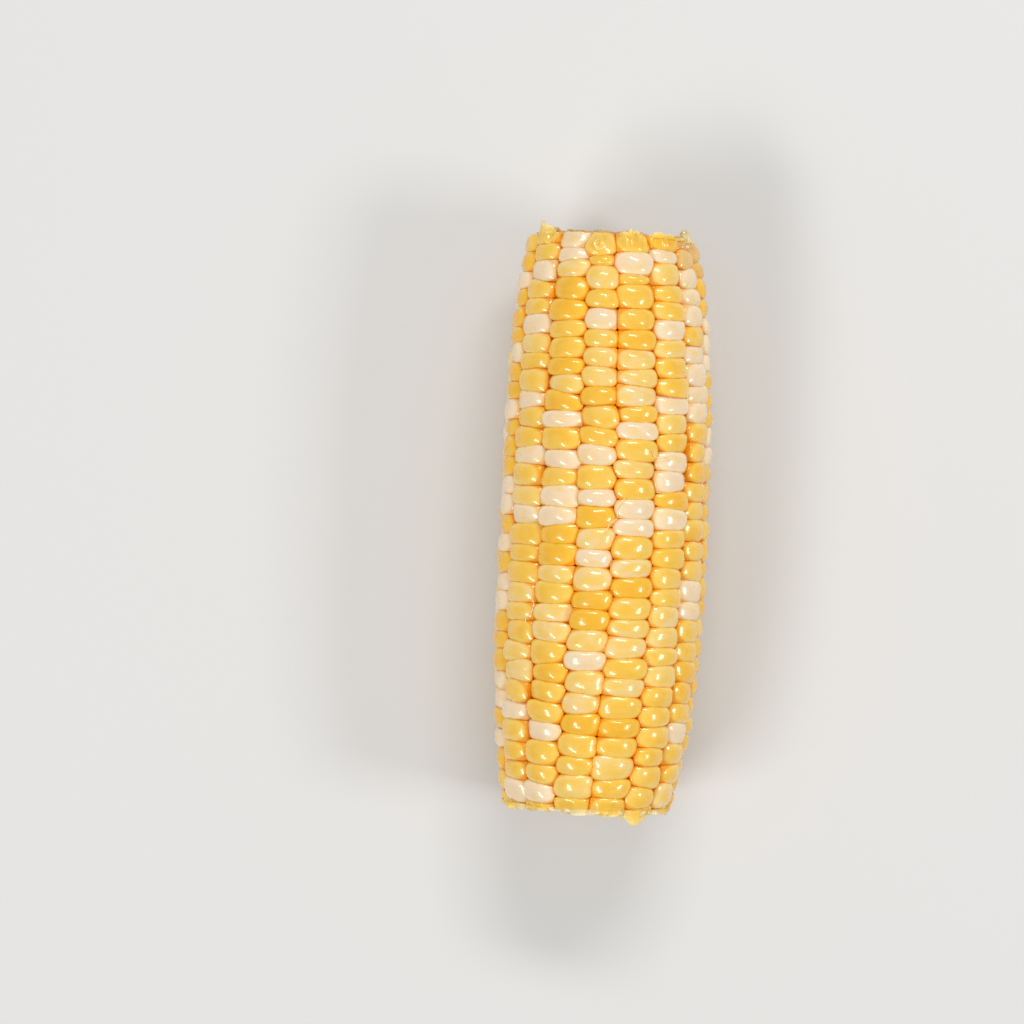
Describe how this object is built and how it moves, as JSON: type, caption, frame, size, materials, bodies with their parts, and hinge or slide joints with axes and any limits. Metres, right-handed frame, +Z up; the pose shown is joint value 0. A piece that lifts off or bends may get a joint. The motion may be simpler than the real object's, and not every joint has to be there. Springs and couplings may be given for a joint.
{
  "type": "corn cob",
  "caption": "Trimmed ear of bicolour sweet corn lying on its side: a cob core carrying straight rows of glossy yellow and cream kernels, cut square at both ends.",
  "frame": {"origin": "on the surface that the ear lies on, under the middle of its length and width", "axes": "+Y along the ear towards its tip end, +X across it, +Z up"},
  "size_m": [0.0518, 0.1404, 0.0516],
  "materials": {
    "kernels": "smooth, moist and glossy skin",
    "cob": "sawn, pale and pithy",
    "chaff": "thin, papery and torn"
  },
  "bodies": {
    "root": {"cob_core": "cob", "kernel_row_01": "kernels", "kernel_row_02": "kernels", "kernel_row_03": "kernels", "kernel_row_04": "kernels", "kernel_row_05": "kernels", "kernel_row_06": "kernels", "kernel_row_07": "kernels", "kernel_row_08": "kernels", "kernel_row_09": "kernels", "kernel_row_10": "kernels", "kernel_row_11": "kernels", "kernel_row_12": "kernels", "kernel_row_13": "kernels", "kernel_row_14": "kernels", "kernel_row_15": "kernels", "kernel_row_16": "kernels"}
  },
  "joints": []
}
